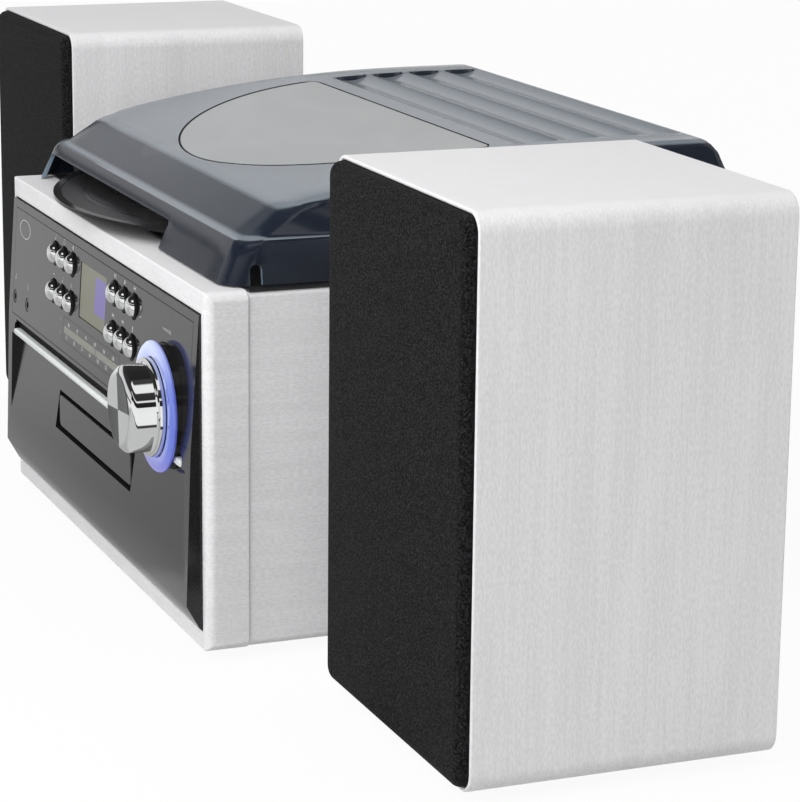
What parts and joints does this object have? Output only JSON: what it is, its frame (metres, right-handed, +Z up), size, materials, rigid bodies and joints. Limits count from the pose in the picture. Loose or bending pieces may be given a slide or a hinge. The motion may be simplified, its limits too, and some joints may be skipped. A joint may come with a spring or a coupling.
{
  "type": "stereo music centre",
  "caption": "Table-top music centre with record player under a smoked cover, CD drawer, tuner scale, ring-lit volume knob and two loudspeakers.",
  "frame": {"origin": "middle of the set on the surface that its feet stand on", "axes": "+X across the front to the right loudspeaker, +Y from front to back, +Z up"},
  "size_m": [0.776, 0.3322, 0.251],
  "materials": {
    "white_vinyl": "white-washed wood-grain vinyl",
    "deck_plastic": "fine satin moulding",
    "rear_board": "painted fibre board",
    "rubber": "matt",
    "screw_steel": "blackened",
    "gloss_black": "high gloss, dark",
    "lit_display": "lit from behind",
    "scale_print": "printed scale under gloss",
    "silver_plastic": "satin silver",
    "ring_light": "translucent, lit",
    "chrome": "polished",
    "black_plastic": "plain moulding",
    "circuit_board": "board with parts",
    "plated_steel": "zinc plated",
    "smoked_acrylic": "smoky, glossy",
    "pale_acrylic": "lighter smoky, glossy",
    "platter_metal": "turned",
    "vinyl_record": "grooved",
    "bearing_brass": "turned",
    "grille_cloth": "speckled black cloth",
    "driver_metal": "pressed steel",
    "paper_cone": "coated paper"
  },
  "bodies": {
    "main_unit": {"front_frame": "white_vinyl", "cabinet": "white_vinyl", "deck_plate": "deck_plastic", "back_panel": "rear_board", "rubber_feet": "rubber", "case_screws": "screw_steel", "fascia": "gloss_black", "window_panel": "gloss_black", "display": "lit_display", "tuner_scale": "scale_print", "trim_strip": "silver_plastic", "knob_boss": "gloss_black", "light_ring": "ring_light", "front_sockets": "black_plastic", "front_board": "circuit_board", "cd_chassis": "plated_steel", "main_board": "circuit_board", "transformer": "plated_steel", "rear_sockets": "black_plastic", "mains_inlet": "black_plastic", "hinge_brackets": "screw_steel", "platter_bearing": "bearing_brass", "drive_belt": "rubber", "deck_motor": "plated_steel", "arm_base": "deck_plastic", "arm_rest": "deck_plastic", "left_cabinet": "white_vinyl", "left_grille": "grille_cloth", "right_cabinet": "white_vinyl", "right_grille": "grille_cloth", "driver_frames": "driver_metal", "driver_cones": "paper_cone", "speaker_terminals": "black_plastic"},
    "volume_knob": {"volume_knob": "chrome"},
    "cd_drawer": {"cd_drawer_front": "gloss_black", "cd_tray": "black_plastic"},
    "cd_hub": {"cd_hub": "black_plastic"},
    "dust_cover": {"dust_cover": "smoked_acrylic", "cover_window": "pale_acrylic"},
    "turntable": {"platter": "platter_metal", "platter_mat": "rubber", "record": "vinyl_record"},
    "motor_pulley": {"motor_pulley": "bearing_brass"},
    "arm_yoke": {"arm_yoke": "platter_metal"},
    "tone_arm": {"arm_tube": "platter_metal", "headshell": "black_plastic"},
    "cue_lever": {"cue_lever": "platter_metal"},
    "left_button_1": {"left_button_1": "chrome"},
    "left_button_2": {"left_button_2": "chrome"},
    "left_button_3": {"left_button_3": "chrome"},
    "left_button_4": {"left_button_4": "chrome"},
    "left_button_5": {"left_button_5": "chrome"},
    "left_button_6": {"left_button_6": "chrome"},
    "right_button_1": {"right_button_1": "chrome"},
    "right_button_2": {"right_button_2": "chrome"},
    "right_button_3": {"right_button_3": "chrome"},
    "right_button_4": {"right_button_4": "chrome"},
    "right_button_5": {"right_button_5": "chrome"},
    "right_button_6": {"right_button_6": "chrome"}
  },
  "joints": [
    {"name": "knob_turn", "type": "hinge", "parent": "main_unit", "child": "volume_knob", "pos_m": [0.1224, -0.1539, 0.1143], "axis": [0, 1, 0], "range_deg": [-150, 150]},
    {"name": "drawer_slide", "type": "slide", "parent": "main_unit", "child": "cd_drawer", "axis": [0, -1, 0], "range_m": [0, 0.12]},
    {"name": "hub_spin", "type": "hinge", "parent": "main_unit", "child": "cd_hub", "pos_m": [0, -0.0738, 0.057], "axis": [0, 0, 1], "continuous": true},
    {"name": "cover_lift", "type": "hinge", "parent": "main_unit", "child": "dust_cover", "pos_m": [0, 0.1621, 0.1844], "axis": [-1, 0, 0], "range_deg": [0, 65]},
    {"name": "platter_turn", "type": "hinge", "parent": "main_unit", "child": "turntable", "pos_m": [-0.028, 0.0011, 0.1764], "axis": [0, 0, -1], "continuous": true},
    {"name": "pulley_turn", "type": "hinge", "parent": "main_unit", "child": "motor_pulley", "pos_m": [-0.08315, 0.05625, 0.1764], "axis": [0, 0, -1], "continuous": true},
    {"name": "arm_swing", "type": "hinge", "parent": "main_unit", "child": "arm_yoke", "pos_m": [0.144, 0.1191, 0.1844], "axis": [0, 0, -1], "range_deg": [0, 42]},
    {"name": "arm_lift", "type": "hinge", "parent": "arm_yoke", "child": "tone_arm", "pos_m": [0.144, 0.1191, 0.1967], "axis": [-1, 0, 0], "range_deg": [0, 1.5]},
    {"name": "lever_tip", "type": "hinge", "parent": "main_unit", "child": "cue_lever", "pos_m": [0.16, 0.1071, 0.1859], "axis": [-1, 0, 0], "range_deg": [0, 24]},
    {"name": "left_button_1_push", "type": "slide", "parent": "main_unit", "child": "left_button_1", "axis": [0, 0.9977, -0.068], "range_m": [0, 0.0015], "stiffness_N_per_m": 200, "springref_m": -0.002},
    {"name": "left_button_2_push", "type": "slide", "parent": "main_unit", "child": "left_button_2", "axis": [0, 0.9977, -0.068], "range_m": [0, 0.0015], "stiffness_N_per_m": 200, "springref_m": -0.002},
    {"name": "left_button_3_push", "type": "slide", "parent": "main_unit", "child": "left_button_3", "axis": [0, 0.9977, -0.068], "range_m": [0, 0.0015], "stiffness_N_per_m": 200, "springref_m": -0.002},
    {"name": "left_button_4_push", "type": "slide", "parent": "main_unit", "child": "left_button_4", "axis": [0, 0.9977, -0.068], "range_m": [0, 0.0015], "stiffness_N_per_m": 200, "springref_m": -0.002},
    {"name": "left_button_5_push", "type": "slide", "parent": "main_unit", "child": "left_button_5", "axis": [0, 0.9977, -0.068], "range_m": [0, 0.0015], "stiffness_N_per_m": 200, "springref_m": -0.002},
    {"name": "left_button_6_push", "type": "slide", "parent": "main_unit", "child": "left_button_6", "axis": [0, 0.9977, -0.068], "range_m": [0, 0.0015], "stiffness_N_per_m": 200, "springref_m": -0.002},
    {"name": "right_button_1_push", "type": "slide", "parent": "main_unit", "child": "right_button_1", "axis": [0, 0.9977, -0.068], "range_m": [0, 0.0015], "stiffness_N_per_m": 200, "springref_m": -0.002},
    {"name": "right_button_2_push", "type": "slide", "parent": "main_unit", "child": "right_button_2", "axis": [0, 0.9977, -0.068], "range_m": [0, 0.0015], "stiffness_N_per_m": 200, "springref_m": -0.002},
    {"name": "right_button_3_push", "type": "slide", "parent": "main_unit", "child": "right_button_3", "axis": [0, 0.9977, -0.068], "range_m": [0, 0.0015], "stiffness_N_per_m": 200, "springref_m": -0.002},
    {"name": "right_button_4_push", "type": "slide", "parent": "main_unit", "child": "right_button_4", "axis": [0, 0.9977, -0.068], "range_m": [0, 0.0015], "stiffness_N_per_m": 200, "springref_m": -0.002},
    {"name": "right_button_5_push", "type": "slide", "parent": "main_unit", "child": "right_button_5", "axis": [0, 0.9977, -0.068], "range_m": [0, 0.0015], "stiffness_N_per_m": 200, "springref_m": -0.002},
    {"name": "right_button_6_push", "type": "slide", "parent": "main_unit", "child": "right_button_6", "axis": [0, 0.9977, -0.068], "range_m": [0, 0.0015], "stiffness_N_per_m": 200, "springref_m": -0.002}
  ],
  "couplings": [
    {"joint": "pulley_turn", "follows": "platter_turn", "ratio": 12},
    {"joint": "lever_tip", "follows": "arm_lift", "ratio": 16}
  ]
}
